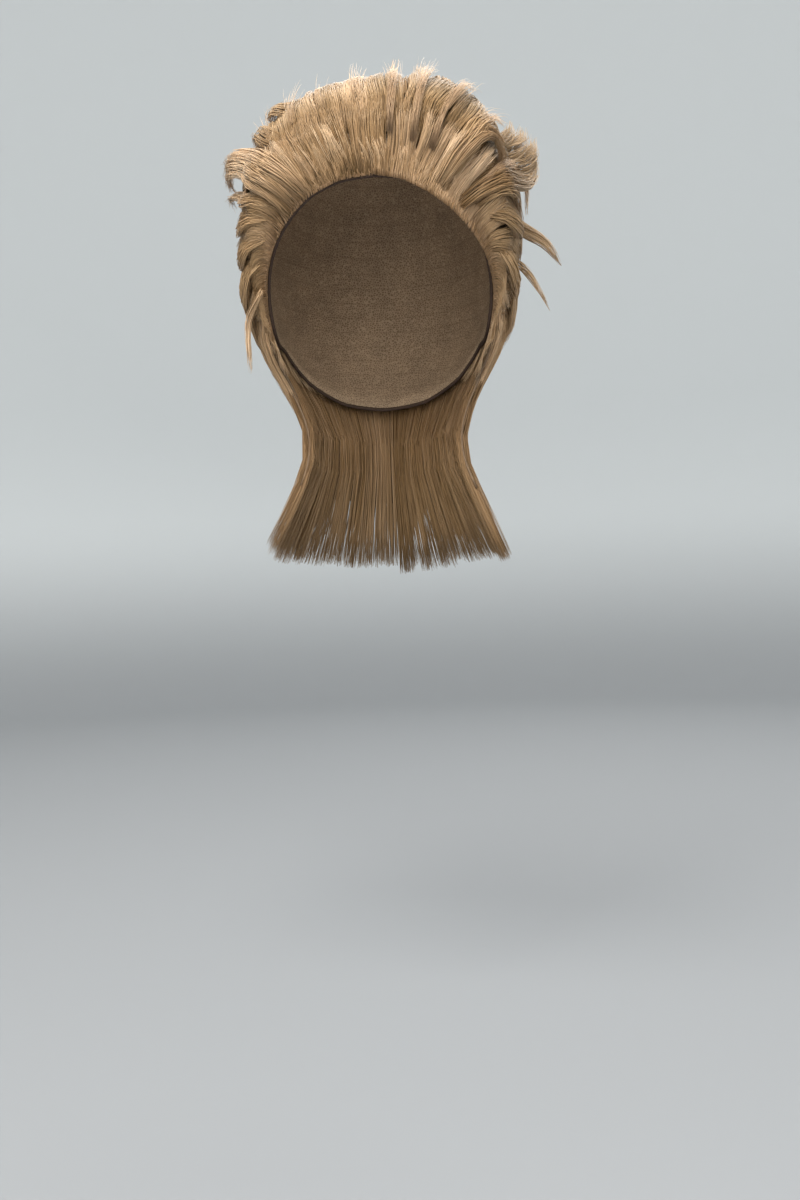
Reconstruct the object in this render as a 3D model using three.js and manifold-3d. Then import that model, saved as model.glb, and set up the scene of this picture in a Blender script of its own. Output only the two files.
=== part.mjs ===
// A blonde mullet wig, as worn: a hollow knitted cap with a bound edge, and the hair that is sewn to it.
// Millimetres, +Z up, the front faces -Y. The origin is the inside of the crown, where the top of a head sits.
import * as THREE from "three";
import { mergeVertices } from "three/addons/utils/BufferGeometryUtils.js";
import Module from "manifold-3d";

const wasm = await Module();
wasm.setup();

// Head that the cap fits
const headBreadth = 151;
const headLength = 192;
const crownRise = 95; // from the widest level up to the top of the head
const napeDrop = 105; // from the widest level down to where the form would close
const headSquareness = 2.1;

// Cap and its edge
const capWall = 1.5;
const bindingWidth = 2.4;
const bindingWall = 2.2;
const pieceGap = 0.35; // between one piece and the next

// Hair on the head
const quiffDepth = 27; // mass of hair over the forehead
const crownDepth = 24;
const sideDepth = 15;
const backDepth = 20;
const hairlineDepth = 4; // where the hair leaves the binding
const hairlineRise = 17; // degrees of head over which it grows to its full depth
const lockWidth = 19;
const lockThickness = 11;

// Hair below the head
const neckWidth = 92; // inside the hair, at the neck
const neckLength = 128;
const neckLevel = 203; // below the top of the head
const tailSpread = 150; // inside the hair, at its ends
const tailSweep = 174;
const tailLevel = 290; // below the top of the head
const tailThickness = 11;
const tailLockWidth = 25;
const tailRootRise = 9; // degrees of head that the long hair reaches up under the rest

const headSectors = 36; // faces round the cap
const headRows = 7;
const simplifyTo = 0.15; // well under pieceGap
const roomInside = -50; // heights off the head between which a section's room lies
const roomOutside = 330;

// Bounds of the sections of hair, in degrees: bearings are from the front, reaches from the top
const sideBearing = 50;
const backBearing = 110;
const napeBearing = 130;
const frontTop = 18;
const crownReach = 50;
const tailStart = 118;
const openReach = 150; // past the foot of any piece on the head
const downReach = 177; // straight down
const degrees = Math.PI / 180;
const headCentre = new THREE.Vector3(0, 0, -crownRise);

// The edge of the cap: how far down the head it comes, in degrees from the top, at each bearing from the front
const capEdge = [
  { bearing: 0, reach: 67 },
  { bearing: 14, reach: 68 },
  { bearing: 26, reach: 71 },
  { bearing: 36, reach: 76 },
  { bearing: 46, reach: 82.5 },
  { bearing: 57, reach: 91 },
  { bearing: 68, reach: 103 },
  { bearing: 80, reach: 120 },
  { bearing: 92, reach: 124 },
  { bearing: 108, reach: 124 },
  { bearing: 128, reach: 136 },
  { bearing: 152, reach: 143 },
  { bearing: 180, reach: 145 },
];

// Depth of the hair as shares of quiffDepth (front and the two corners), sideDepth and the back's two depths
const hairMass = [
  { reach: 0, front: 0.95, cornerLeft: 1.0, cornerRight: 1.1, side: 1.7, back: 1.2 },
  { reach: 25, front: 1.02, cornerLeft: 1.08, cornerRight: 1.38, side: 1.95, back: 1.15 },
  { reach: 45, front: 1.02, cornerLeft: 1.12, cornerRight: 1.46, side: 2.05, back: 1.15 },
  { reach: 62, front: 0.9, cornerLeft: 0.98, cornerRight: 1.1, side: 1.5, back: 1.15 },
  { reach: 80, front: 0.9, cornerLeft: 0.72, cornerRight: 0.8, side: 1.1, back: 1.1 },
  { reach: 100, front: 0.9, cornerLeft: 0.6, cornerRight: 0.66, side: 1.05, back: 1.0 },
  { reach: 118, front: 0.9, cornerLeft: 0.5, cornerRight: 0.56, side: 1.1, back: 0.8 },
  { reach: 150, front: 0.9, cornerLeft: 0.5, cornerRight: 0.5, side: 0.8, back: 0.6 },
];

// Locks that lie on the hair. A root and a tip hold bearing and reach in degrees; middle and tip heights are shares
// of the hair's depth there, and width is a share of lockWidth.
const fringeLocks = [
  { from: [-46, 78], to: [-60, 58], middle: 0.9, tip: 1.1, width: 0.9 },
  { from: [-35, 71], to: [-48, 49], middle: 0.95, tip: 1.12, width: 1.0 },
  { from: [-24, 67], to: [-34, 46], middle: 0.95, tip: 1.1, width: 1.0 },
  { from: [-12, 64], to: [-18, 44], middle: 0.9, tip: 1.14, width: 0.95 },
  { from: [0, 64], to: [-1, 47], middle: 0.95, tip: 1.08, width: 1.0 },
  { from: [12, 64], to: [15, 45], middle: 0.95, tip: 1.12, width: 0.95 },
  { from: [24, 67], to: [33, 47], middle: 0.9, tip: 1.1, width: 1.0 },
  { from: [35, 71], to: [48, 52], middle: 0.95, tip: 1.14, width: 1.0 },
  { from: [46, 78], to: [62, 60], middle: 0.95, tip: 1.06, width: 0.9 },
];
const quiffLocks = [
  { from: [-40, 58], to: [-72, 42], middle: 1.05, tip: 1.16, width: 1.1 },
  { from: [-30, 54], to: [-61, 34], middle: 1.06, tip: 1.2, width: 1.1 },
  { from: [-20, 52], to: [-44, 27], middle: 1.08, tip: 1.15, width: 1.05 },
  { from: [-10, 50], to: [-22, 18], middle: 1.08, tip: 1.2, width: 1.05 },
  { from: [0, 50], to: [2, 16], middle: 1.06, tip: 1.16, width: 1.0 },
  { from: [10, 50], to: [26, 18], middle: 1.1, tip: 1.22, width: 1.05 },
  { from: [20, 52], to: [46, 25], middle: 1.06, tip: 1.16, width: 1.05 },
  { from: [30, 55], to: [60, 33], middle: 1.08, tip: 1.2, width: 1.1 },
  { from: [40, 60], to: [72, 42], middle: 1.04, tip: 1.18, width: 1.1 },
];
const crownLocks = [
  { from: [40, 14], to: [96, 52], middle: 1.12, tip: 1.0, width: 1.2 },
  { from: [70, 16], to: [118, 58], middle: 1.1, tip: 1.25, width: 1.2 },
  { from: [110, 14], to: [140, 62], middle: 1.14, tip: 1.1, width: 1.2 },
  { from: [150, 12], to: [163, 60], middle: 1.12, tip: 1.28, width: 1.25 },
  { from: [190, 12], to: [188, 66], middle: 1.14, tip: 1.12, width: 1.25 },
  { from: [222, 13], to: [212, 58], middle: 1.1, tip: 1.26, width: 1.2 },
  { from: [262, 14], to: [232, 62], middle: 1.13, tip: 1.1, width: 1.2 },
  { from: [300, 16], to: [252, 56], middle: 1.1, tip: 1.22, width: 1.2 },
  { from: [322, 14], to: [268, 50], middle: 1.12, tip: 1.05, width: 1.2 },
];
const backLocks = [
  { from: [118, 76], to: [126, 116], middle: 1.12, tip: 1.0, width: 1.2 },
  { from: [136, 70], to: [142, 124], middle: 1.14, tip: 1.1, width: 1.2 },
  { from: [154, 74], to: [158, 120], middle: 1.14, tip: 1.05, width: 1.2 },
  { from: [172, 68], to: [174, 126], middle: 1.16, tip: 1.12, width: 1.2 },
  { from: [190, 74], to: [190, 121], middle: 1.14, tip: 1.04, width: 1.2 },
  { from: [208, 70], to: [206, 125], middle: 1.14, tip: 1.1, width: 1.2 },
  { from: [226, 76], to: [221, 118], middle: 1.12, tip: 1.02, width: 1.2 },
  { from: [242, 74], to: [234, 114], middle: 1.12, tip: 1.0, width: 1.1 },
];
const sideLocks = [
  { from: [54, 84], to: [92, 68], middle: 1.15, tip: 1.0, width: 0.9 },
  { from: [62, 93], to: [100, 82], middle: 1.2, tip: 1.05, width: 0.95 },
  { from: [70, 102], to: [108, 98], middle: 1.2, tip: 1.05, width: 0.95 },
  { from: [80, 112], to: [110, 118], middle: 1.15, tip: 1.0, width: 0.95 },
];

// Locks that stand clear of the head. stations holds bearing and reach in degrees and the height off the head as a
// share of sideDepth; width and thickness are shares of lockWidth and lockThickness.
const freeLocks = [
  // The rolled tuft at the side, and the curl under it
  {
    width: 1.15,
    thickness: 1.0,
    stations: [
      [-52, 61, 1.3],
      [-64, 55, 1.9],
      [-76, 54, 2.45],
      [-84, 58, 2.5],
      [-88, 63, 2.2],
    ],
  },
  {
    width: 0.55,
    thickness: 0.7,
    stations: [
      [-60, 68, 1.3],
      [-74, 64, 1.7],
      [-84, 63, 2.1],
      [-90, 66, 2.2],
    ],
  },
  // A wisp down the same side
  {
    width: 0.5,
    thickness: 0.5,
    stations: [
      [-86, 98, 0.9],
      [-90, 111, 1.35],
      [-92, 123, 1.75],
      [-93, 130, 1.9],
    ],
  },
  // The tuft and the wave on the other side
  {
    width: 1.1,
    thickness: 1.1,
    stations: [
      [60, 59, 1.7],
      [75, 57, 2.5],
      [84, 54, 3.1],
      [88, 48, 3.35],
    ],
  },
  {
    width: 1.2,
    thickness: 1.0,
    stations: [
      [58, 54, 2.1],
      [74, 55, 2.5],
      [86, 60, 2.7],
      [94, 67, 2.5],
    ],
  },
  // Two pointed locks under them
  {
    width: 0.8,
    thickness: 0.6,
    stations: [
      [78, 74, 1.0],
      [86, 78, 1.6],
      [90, 83, 2.4],
      [92, 88, 3.15],
    ],
  },
  {
    width: 0.42,
    thickness: 0.45,
    stations: [
      [83, 88, 0.9],
      [89, 95, 1.8],
      [91, 102, 2.65],
    ],
  },
  // Two tips on top
  {
    width: 0.6,
    thickness: 0.6,
    stations: [
      [8, 42, 1.6],
      [9, 32, 2.1],
      [9, 25, 2.5],
    ],
  },
  {
    width: 0.6,
    thickness: 0.6,
    stations: [
      [30, 42, 1.8],
      [32, 33, 2.4],
      [32, 27, 2.8],
    ],
  },
];

// The long hair: bearing where each lock leaves the head, passes the neck and ends, and its end level as a share
const tailLocks = [
  { root: 98, neck: 103, end: 88, drop: 1.0 },
  { root: 110, neck: 115, end: 100, drop: 1.005 },
  { root: 122, neck: 126, end: 113, drop: 1.0 },
  { root: 134, neck: 137, end: 127, drop: 1.01 },
  { root: 149, neck: 151, end: 144, drop: 1.02 },
  { root: 164, neck: 166, end: 162, drop: 1.03 },
  { root: 180, neck: 180, end: 180, drop: 1.035 },
  { root: 196, neck: 194, end: 198, drop: 1.03 },
  { root: 211, neck: 209, end: 216, drop: 1.02 },
  { root: 226, neck: 223, end: 233, drop: 1.01 },
  { root: 238, neck: 234, end: 247, drop: 1.0 },
  { root: 250, neck: 245, end: 260, drop: 0.99 },
  { root: 262, neck: 257, end: 272, drop: 0.965 },
];

// Reads a column of a table at a key between its rows
function between(table, key, column, at) {
  const last = table.length - 1;
  if (at <= table[0][key]) return table[0][column];
  for (let i = 0; i < last; i++) {
    const [low, high] = [table[i], table[i + 1]];
    if (at <= high[key]) {
      const share = (at - low[key]) / (high[key] - low[key]);
      return THREE.MathUtils.lerp(low[column], high[column], share);
    }
  }
  return table[last][column];
}

// Bearing 0 is the front, 90 the wearer's left (+X) and 180 the back. This is the angle from the front, 0 to 180.
const fromFront = (bearing) => Math.abs(THREE.MathUtils.euclideanModulo(bearing + 180, 360) - 180);

function direction(bearing, reach) {
  const [b, r] = [bearing * degrees, reach * degrees];
  return new THREE.Vector3(Math.sin(b) * Math.sin(r), -Math.cos(b) * Math.sin(r), Math.cos(r));
}

function headRadius(d) {
  const rise = d.z > 0 ? crownRise : napeDrop;
  const n = headSquareness;
  const sum = Math.abs((2 * d.x) / headBreadth) ** n + Math.abs((2 * d.y) / headLength) ** n + Math.abs(d.z / rise) ** n;
  return sum ** (-1 / n);
}

// A point that stands height off the head
function offHead(bearing, reach, height) {
  const d = direction(bearing, reach);
  return d.multiplyScalar(headRadius(d) + height).add(headCentre);
}

const edgeReach = (bearing) => between(capEdge, "bearing", "reach", fromFront(bearing));

// Degrees of head that a length takes at the cap's edge
const asAngle = (bearing, length) => length / headRadius(direction(bearing, edgeReach(bearing))) / degrees;

// Depth of the hair's mass over the head
function hairDepth(bearing, reach) {
  const turn = fromFront(bearing);
  const at = (column) => between(hairMass, "reach", column, reach);
  const columns = [
    { turn: 0, depth: at("front") * quiffDepth },
    { turn: 45, depth: at(bearing < 0 || bearing > 180 ? "cornerLeft" : "cornerRight") * quiffDepth },
    { turn: 90, depth: at("side") * sideDepth },
    { turn: 135, depth: at("back") * ((crownDepth + backDepth) / 2) * (reach < 70 ? 1 : backDepth / crownDepth) },
    { turn: 180, depth: at("back") * (reach < 70 ? crownDepth : backDepth) },
  ];
  const full = between(columns, "turn", "depth", turn);
  const rise = THREE.MathUtils.smoothstep(edgeReach(bearing) - reach, 0, hairlineRise);
  const edge = turn < 120 ? hairlineDepth : THREE.MathUtils.lerp(hairlineDepth, full, (turn - 120) / 60);
  return THREE.MathUtils.lerp(Math.min(edge, full), full, rise);
}

// A closed geometry as a solid
function solidOf(geometry) {
  const bare = geometry.index ? geometry.toNonIndexed() : geometry.clone();
  bare.deleteAttribute("normal");
  bare.deleteAttribute("uv");
  const merged = mergeVertices(bare, 1e-4);
  const corners = merged.index.array;
  const kept = [];
  for (let i = 0; i < corners.length; i += 3) {
    const [a, b, c] = [corners[i], corners[i + 1], corners[i + 2]];
    if (a !== b && b !== c && c !== a) kept.push(a, b, c);
  }
  const made = new wasm.Manifold(
    new wasm.Mesh({
      numProp: 3,
      vertProperties: new Float32Array(merged.attributes.position.array),
      triVerts: new Uint32Array(kept),
    }),
  );
  return made;
}

const joined = (solids) => solids.reduce((all, next) => all.add(next));

// The main body of a solid that its neighbours have cut into
function mainBody(solid) {
  const bodies = solid.decompose();
  return bodies.reduce((best, next) => (next.volume() > best.volume() ? next : best));
}

function meshOf(name, solid, material) {
  const made = solid.getMesh();
  const geometry = new THREE.BufferGeometry();
  geometry.setAttribute("position", new THREE.BufferAttribute(new Float32Array(made.vertProperties), 3));
  geometry.setIndex(new THREE.BufferAttribute(new Uint32Array(made.triVerts), 1));
  geometry.computeVertexNormals();
  const mesh = new THREE.Mesh(geometry, material);
  mesh.name = name;
  return mesh;
}

// Moves each vertex of a geometry where place(x, y, z) says
function shaped(geometry, place) {
  const position = geometry.attributes.position;
  for (let i = 0; i < position.count; i++) {
    const p = place(position.getX(i), position.getY(i), position.getZ(i));
    position.setXYZ(i, p.x, p.y, p.z);
  }
  return geometry;
}

// A dome that follows the head from the top down to reachAt(bearing), between two heights off it. Its rows are
// those of the cap, so that two domes of different depth have parallel faces.
function domeShell(reachAt, inner, outer) {
  const profile = [];
  for (let i = 0; i <= headRows; i++) profile.push(new THREE.Vector2(i / headRows, 0));
  for (let i = headRows; i >= 0; i--) profile.push(new THREE.Vector2(i / headRows, 1));
  const turned = new THREE.LatheGeometry(profile, headSectors);
  return solidOf(
    shaped(turned, (x, y, z) => {
      const down = Math.hypot(x, z);
      const bearing = down < 1e-6 ? 0 : Math.atan2(x, z) / degrees;
      const reach = down > 1 - 1e-6 ? reachAt(bearing) : Math.min(down * edgeReach(bearing), reachAt(bearing) - headRows + down * headRows);
      return offHead(bearing, reach, y < 0.5 ? inner : outer);
    }),
  );
}

// A closed band round the head, between two reaches and two heights
function ringShell(fromReach, toReach, inner, outer) {
  const profile = [
    [1, 0],
    [2, 0],
    [2, 1],
    [1, 1],
    [1, 0],
  ].map(([x, y]) => new THREE.Vector2(x, y));
  const turned = new THREE.LatheGeometry(profile, headSectors);
  return solidOf(
    shaped(turned, (x, y, z) => {
      const bearing = Math.atan2(x, z) / degrees;
      const reach = Math.hypot(x, z) < 1.5 ? fromReach(bearing) : toReach(bearing);
      return offHead(bearing, reach, y < 0.5 ? inner : outer);
    }),
  );
}

// The hair's mass: a dome whose height off the head is hairDepth
function hairDome() {
  const profile = [];
  for (let i = 0; i <= headRows; i++) profile.push(new THREE.Vector2(i / headRows, 0));
  for (let i = headRows; i >= 0; i--) profile.push(new THREE.Vector2(i / headRows, 1));
  const turned = new THREE.LatheGeometry(profile, headSectors);
  return solidOf(
    shaped(turned, (x, y, z) => {
      const down = Math.hypot(x, z);
      const bearing = down < 1e-6 ? 0 : Math.atan2(x, z) / degrees;
      const reach = down * Math.min(hairStart(bearing), fromFront(bearing) < 85 ? 180 : tailStart);
      return offHead(bearing, reach, y < 0.5 ? -capWall : hairDepth(bearing, reach));
    }),
  );
}

// The room of a section: a wedge between two bearings and two reaches, spare millimetres larger on each side
function wedge(bearings, reaches, spare) {
  const steps = [Math.round((bearings[1] - bearings[0]) / (360 / headSectors)), 5];
  const room = new THREE.BoxGeometry(1, 1, 1, ...steps, 1);
  return solidOf(
    shaped(room, (x, y, z) => {
      const reach = THREE.MathUtils.lerp(reaches[0], reaches[1], 0.5 - y);
      const bearing = THREE.MathUtils.lerp(bearings[0], bearings[1], x + 0.5);
      const radius = headRadius(direction(bearing, reach));
      const turn = spare / (radius * Math.sin(reach * degrees)) / degrees;
      const shift = spare / radius / degrees;
      const [sideways, down] = [Math.abs(x) > 0.499 ? Math.sign(x) : 0, Math.abs(y) > 0.499 ? -Math.sign(y) : 0];
      return offHead(bearing + sideways * turn, reach + down * shift, z < 0 ? roomInside : roomOutside);
    }),
  );
}

// A flat lock of hair along a curve. sizes gives its width and thickness at a share of its length.
function lockAlong(points, sizes, { sides = 6, rings = 6, spare = 0 } = {}) {
  const curve = new THREE.CatmullRomCurve3(points, false, "centripetal");
  const tube = new THREE.CylinderGeometry(1, 1, 1, sides, rings);
  return solidOf(
    shaped(tube, (x, y, z) => {
      const share = 0.5 - y;
      const at = curve.getPoint(share);
      const along = curve.getTangent(share);
      const out = at.clone().sub(headCentre).setZ(Math.max(0, at.z - headCentre.z));
      out.addScaledVector(along, -out.dot(along)).normalize();
      const side = out.clone().cross(along);
      const { width, thickness } = sizes(share);
      return at
        .addScaledVector(side, x * (width / 2 + spare))
        .addScaledVector(out, z * (thickness / 2 + spare))
        .addScaledVector(along, -Math.sign(y) * (Math.abs(y) > 0.499 ? spare : 0));
    }),
  );
}

// Narrow at the root and pointed at the tip
function leafSizes(width, thickness, root = 0.6, tip = 0.22) {
  return (share) => {
    const swell = share < 0.35 ? root + (1 - root) * (share / 0.35) : 1 - (1 - tip) * ((share - 0.35) / 0.65) ** 2;
    return { width: width * swell, thickness: thickness * Math.max(tip, swell * (1 - 0.3 * share)) };
  };
}

// A lock that lies on the hair from one place on the head to another
function lyingLock(row, mirrored) {
  const turn = mirrored ? -1 : 1;
  const stations = [0, 0.25, 0.5, 0.75, 1].map((share) => {
    const bearing = turn * THREE.MathUtils.lerp(row.from[0], row.to[0], share);
    const reach = THREE.MathUtils.lerp(row.from[1], row.to[1], share);
    const lift = share < 0.5
      ? THREE.MathUtils.lerp(0.55, row.middle, share * 2)
      : THREE.MathUtils.lerp(row.middle, row.tip, share * 2 - 1);
    const depth = hairDepth(bearing, reach);
    return offHead(bearing, reach, Math.max(capWall + pieceGap + lockThickness / 3, depth * lift - lockThickness / 4));
  });
  return lockAlong(stations, leafSizes(row.width * lockWidth, lockThickness), { rings: 4 });
}

// A lock that stands clear of the head
function freeLock({ width, thickness, stations }) {
  const points = stations.map(([bearing, reach, height]) => offHead(bearing, reach, height * sideDepth));
  return lockAlong(points, leafSizes(width * lockWidth, thickness * lockThickness, 0.9, 0.12), { rings: stations.length + 1 });
}

// A lock of the long hair: off the back of the head, past the neck and down to its end
function tailLock({ root, neck, end, drop }, spare = 0) {
  const ring = (bearing, width, length, level) => {
    const b = bearing * degrees;
    const out = tailThickness / 2;
    return new THREE.Vector3(Math.sin(b) * (width / 2 + out), -Math.cos(b) * (length / 2 + out), -level);
  };
  const onCap = (reach, share) => offHead(root, reach, capWall + pieceGap + tailThickness / 2 + backDepth * share);
  const points = [
    onCap(tailStart - tailRootRise, 0.36),
    onCap(edgeReach(root) - 5, 0.24),
    ring(neck, neckWidth, neckLength, neckLevel),
    ring((neck + end) / 2, (neckWidth + tailSpread) / 2.06, (neckLength + tailSweep) / 2, (neckLevel + tailLevel) / 2),
    ring(end, tailSpread, tailSweep, tailLevel * drop),
  ];
  const sizes = (share) => ({
    width: tailLockWidth * THREE.MathUtils.lerp(0.82, 1.18, share),
    thickness: tailThickness * THREE.MathUtils.lerp(1, 0.55, share),
  });
  return lockAlong(points, sizes, { rings: 7, spare });
}

// Everything on the head above a reach, spare millimetres further
function domeRoom(reach, spare) {
  return domeShell((b) => reach + spare / headRadius(direction(b, reach)) / degrees, roomInside, roomOutside / 2);
}

// The reach where the hair starts, just above the binding
function hairStart(bearing) {
  return edgeReach(bearing) - asAngle(bearing, bindingWidth + 2 * pieceGap);
}

const colours = {
  cap: new THREE.MeshStandardMaterial({ color: 0x8a6f52, roughness: 0.9, metalness: 0 }),
  binding: new THREE.MeshStandardMaterial({ color: 0x3a271b, roughness: 0.9, metalness: 0 }),
  top: new THREE.MeshStandardMaterial({ color: 0xc9a273, roughness: 0.45, metalness: 0 }),
  side: new THREE.MeshStandardMaterial({ color: 0xa98458, roughness: 0.45, metalness: 0 }),
  tail: new THREE.MeshStandardMaterial({ color: 0x86653f, roughness: 0.45, metalness: 0 }),
};

const capReach = (bearing) => edgeReach(bearing) - asAngle(bearing, bindingWidth + pieceGap);
const cap = domeShell(capReach, 0, capWall);
const binding = ringShell((b) => edgeReach(b) - asAngle(b, bindingWidth), edgeReach, 0, bindingWall);

// Room that the hair leaves to the cap, its edge and the head
const capRoom = domeShell(capReach, roomInside / 2, capWall + pieceGap);
const edgeRoom = ringShell(hairStart, (b) => edgeReach(b) + asAngle(b, pieceGap), -capWall, bindingWall + pieceGap);

const onHead = joined([
  hairDome(),
  ...[...fringeLocks, ...quiffLocks, ...crownLocks, ...backLocks, ...sideLocks].map((row) => lyingLock(row, false)),
  ...sideLocks.map((row) => lyingLock(row, true)),
  ...freeLocks.map(freeLock),
]).subtract(capRoom.add(edgeRoom));

const [left, right] = [-sideBearing, sideBearing];
const above = (spare) => domeRoom(tailStart, spare);
const below = joined(tailLocks.map((row) => tailLock(row))).subtract(above(pieceGap / 2)).subtract(capRoom.add(edgeRoom));
const onSides = onHead.subtract(joined(tailLocks.map((row) => tailLock(row, pieceGap))).subtract(above(-pieceGap / 2)));
const gap = -pieceGap / 2;

const pieces = [
  { name: "front_hair", colour: "top", solid: onHead.intersect(wedge([left, right], [frontTop, openReach], gap)) },
  {
    name: "crown_hair",
    colour: "top",
    solid: onHead.intersect(domeRoom(crownReach, gap)).subtract(wedge([left, right], [frontTop, openReach], -gap)),
  },
  { name: "side_hair_left", colour: "side", solid: onSides.intersect(wedge([-backBearing, left], [crownReach, openReach], gap)) },
  { name: "side_hair_right", colour: "side", solid: onSides.intersect(wedge([right, backBearing], [crownReach, openReach], gap)) },
  {
    name: "back_hair",
    colour: "side",
    solid: onHead.intersect(wedge([backBearing, 360 - backBearing], [crownReach, tailStart], gap)),
  },
  { name: "nape_hair", colour: "tail", solid: below.intersect(wedge([napeBearing, 360 - napeBearing], [90, downReach], gap)) },
  { name: "tail_left", colour: "tail", solid: below.intersect(wedge([-napeBearing, 0], [90, downReach], gap)) },
  { name: "tail_right", colour: "tail", solid: below.intersect(wedge([0, napeBearing], [90, downReach], gap)) },
];

const wig = new THREE.Group();
wig.add(meshOf("cap", cap, colours.cap));
wig.add(meshOf("edge_binding", binding, colours.binding));
for (const { name, colour, solid } of pieces) {
  wig.add(meshOf(name, mainBody(solid.simplify(simplifyTo)), colours[colour]));
}

export default wig;
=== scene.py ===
import math

import bpy
import numpy as np
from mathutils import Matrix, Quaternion, Vector


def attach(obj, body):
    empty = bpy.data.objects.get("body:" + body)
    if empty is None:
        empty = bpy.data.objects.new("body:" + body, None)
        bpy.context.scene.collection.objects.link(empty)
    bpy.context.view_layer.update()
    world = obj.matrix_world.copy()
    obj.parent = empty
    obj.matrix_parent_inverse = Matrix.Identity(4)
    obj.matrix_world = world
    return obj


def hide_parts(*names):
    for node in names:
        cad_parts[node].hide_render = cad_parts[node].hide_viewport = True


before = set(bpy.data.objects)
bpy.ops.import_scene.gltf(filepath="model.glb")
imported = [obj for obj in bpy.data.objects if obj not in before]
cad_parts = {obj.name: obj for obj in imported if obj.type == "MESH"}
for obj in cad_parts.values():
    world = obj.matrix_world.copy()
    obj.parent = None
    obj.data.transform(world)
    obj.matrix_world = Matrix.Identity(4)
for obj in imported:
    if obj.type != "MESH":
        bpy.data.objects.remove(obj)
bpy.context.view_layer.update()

# A mullet wig in its worn form. Lengths are millimetres until a mesh is made. Bearings are degrees round the
# head: 0 is the front, 90 is +X and 180 the back. Reaches are degrees down from the top.
mm = 0.001
fullTurn = 2 * math.pi
head = {"breadth": 151.0, "length": 192.0, "rise": 95.0, "drop": 105.0, "squareness": 2.1}
headCentre = np.array([0.0, 0.0, -head["rise"]])

capEdge = {
    "bearing": [0, 14, 26, 36, 46, 57, 68, 80, 92, 108, 128, 152, 180],
    "reach": [67, 68, 71, 76, 82.5, 91, 103, 120, 124, 124, 136, 143, 145],
}

# Depth of the hair over the head down the front, the two front corners, the sides and the back
hairMass = {
    "reach": [0, 25, 45, 62, 80, 100, 118, 150],
    "front": [25.6, 27.5, 27.5, 24.3, 24.3, 24.3, 24.3, 24.3],
    "cornerLeft": [27.0, 29.2, 30.2, 26.5, 19.4, 16.2, 13.5, 13.5],
    "cornerRight": [29.7, 37.3, 39.4, 29.7, 21.6, 17.8, 15.1, 13.5],
    "side": [25.5, 29.2, 30.8, 22.5, 16.5, 15.8, 16.5, 12.0],
    "back": [28.8, 27.6, 27.6, 27.6, 22.6, 20.0, 16.0, 12.0],
}
cornerAt, sideAt = 45, 90  # bearings of the corners and the sides
edgeDepth = 4.0  # where the hair leaves the binding
edgeRise = 17.0  # degrees over which it grows to its full depth
backEdge = (120, 60)  # bearing from which the edge is full too, and the degrees that it takes

randoms = np.random.default_rng(7)


def signedBearing(bearing):
    return (np.asarray(bearing, float) + 180.0) % 360.0 - 180.0


def direction(bearing, reach):
    b, r = np.radians(bearing), np.radians(reach)
    return np.stack(np.broadcast_arrays(np.sin(b) * np.sin(r), -np.cos(b) * np.sin(r), np.cos(r)), -1)


def headRadius(d):
    n = head["squareness"]
    rise = np.where(d[..., 2] > 0, head["rise"], head["drop"])
    spans = (head["breadth"] / 2, head["length"] / 2, rise)
    return sum(np.abs(d[..., i] / span) ** n for i, span in enumerate(spans)) ** (-1 / n)


def offHead(bearing, reach, height):
    d = direction(bearing, reach)
    return headCentre + d * (headRadius(d) + height)[..., None]


def edgeReach(bearing):
    return np.interp(np.abs(signedBearing(bearing)), capEdge["bearing"], capEdge["reach"])


def smooth(x):
    x = np.clip(x, 0.0, 1.0)
    return x * x * (3 - 2 * x)


def hairDepth(bearing, reach):
    turn, reach = signedBearing(bearing), np.asarray(reach, float)
    at = {k: np.interp(reach, hairMass["reach"], v) for k, v in hairMass.items()}
    corner = np.where(turn < 0, at["cornerLeft"], at["cornerRight"])
    turn = np.abs(turn)
    full = at["front"] + (corner - at["front"]) * turn / cornerAt
    full = np.where(turn >= cornerAt, corner + (at["side"] - corner) * (turn - cornerAt) / cornerAt, full)
    full = np.where(turn >= sideAt, at["side"] + (at["back"] - at["side"]) * (turn - sideAt) / sideAt, full)
    behind = np.clip((turn - backEdge[0]) / backEdge[1], 0, 1)
    edge = np.minimum(full, edgeDepth + (full - edgeDepth) * behind)
    return edge + (full - edge) * smooth((edgeReach(bearing) - reach) / edgeRise)


# A smooth line through a few points, cut into equal steps
def smoothLine(points, steps=24):
    p = np.asarray(points, float)
    p = np.vstack([2 * p[0] - p[1], p, 2 * p[-1] - p[-2]])
    t = np.linspace(0, 1, 9)[:-1, None]
    parts = []
    for a, b, c, d in zip(p[:-3], p[1:-2], p[2:-1], p[3:]):
        bend = (2 * a - 5 * b + 4 * c - d) * t ** 2 + (3 * b - a - 3 * c + d) * t ** 3
        parts.append(0.5 * (2 * b + (c - a) * t + bend))
    line = np.vstack(parts + [p[-2:-1]])
    run = np.concatenate([[0], np.cumsum(np.linalg.norm(np.diff(line, axis=0), axis=1))])
    at = np.linspace(0, run[-1], steps + 1)
    return np.stack([np.interp(at, run, line[:, i]) for i in range(3)], 1)


def unit(v):
    return v / np.maximum(np.linalg.norm(v, axis=-1, keepdims=True), 1e-9)


# Directions out of and across lines of points; out is away from the head, or from the neck below it
def outAndSide(line):
    along = unit(np.gradient(line, axis=-2))
    out = line - headCentre
    out[..., 2] = np.maximum(out[..., 2], 0)
    out = out + np.array([0, 0, 1e-3])
    out = unit(out - along * np.sum(out * along, -1, keepdims=True))
    return out, np.cross(along, out)


# Points, out and across of lines at places between their points; pick chooses the line of each strand
def sampled(lines, place, pick=()):
    low = np.clip(np.floor(place).astype(int), 0, lines.shape[-2] - 2)
    part = (place - low)[..., None]
    return [values[(*pick, low)] * (1 - part) + values[(*pick, low + 1)] * part
            for values in (lines, *outAndSide(lines))]


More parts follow.
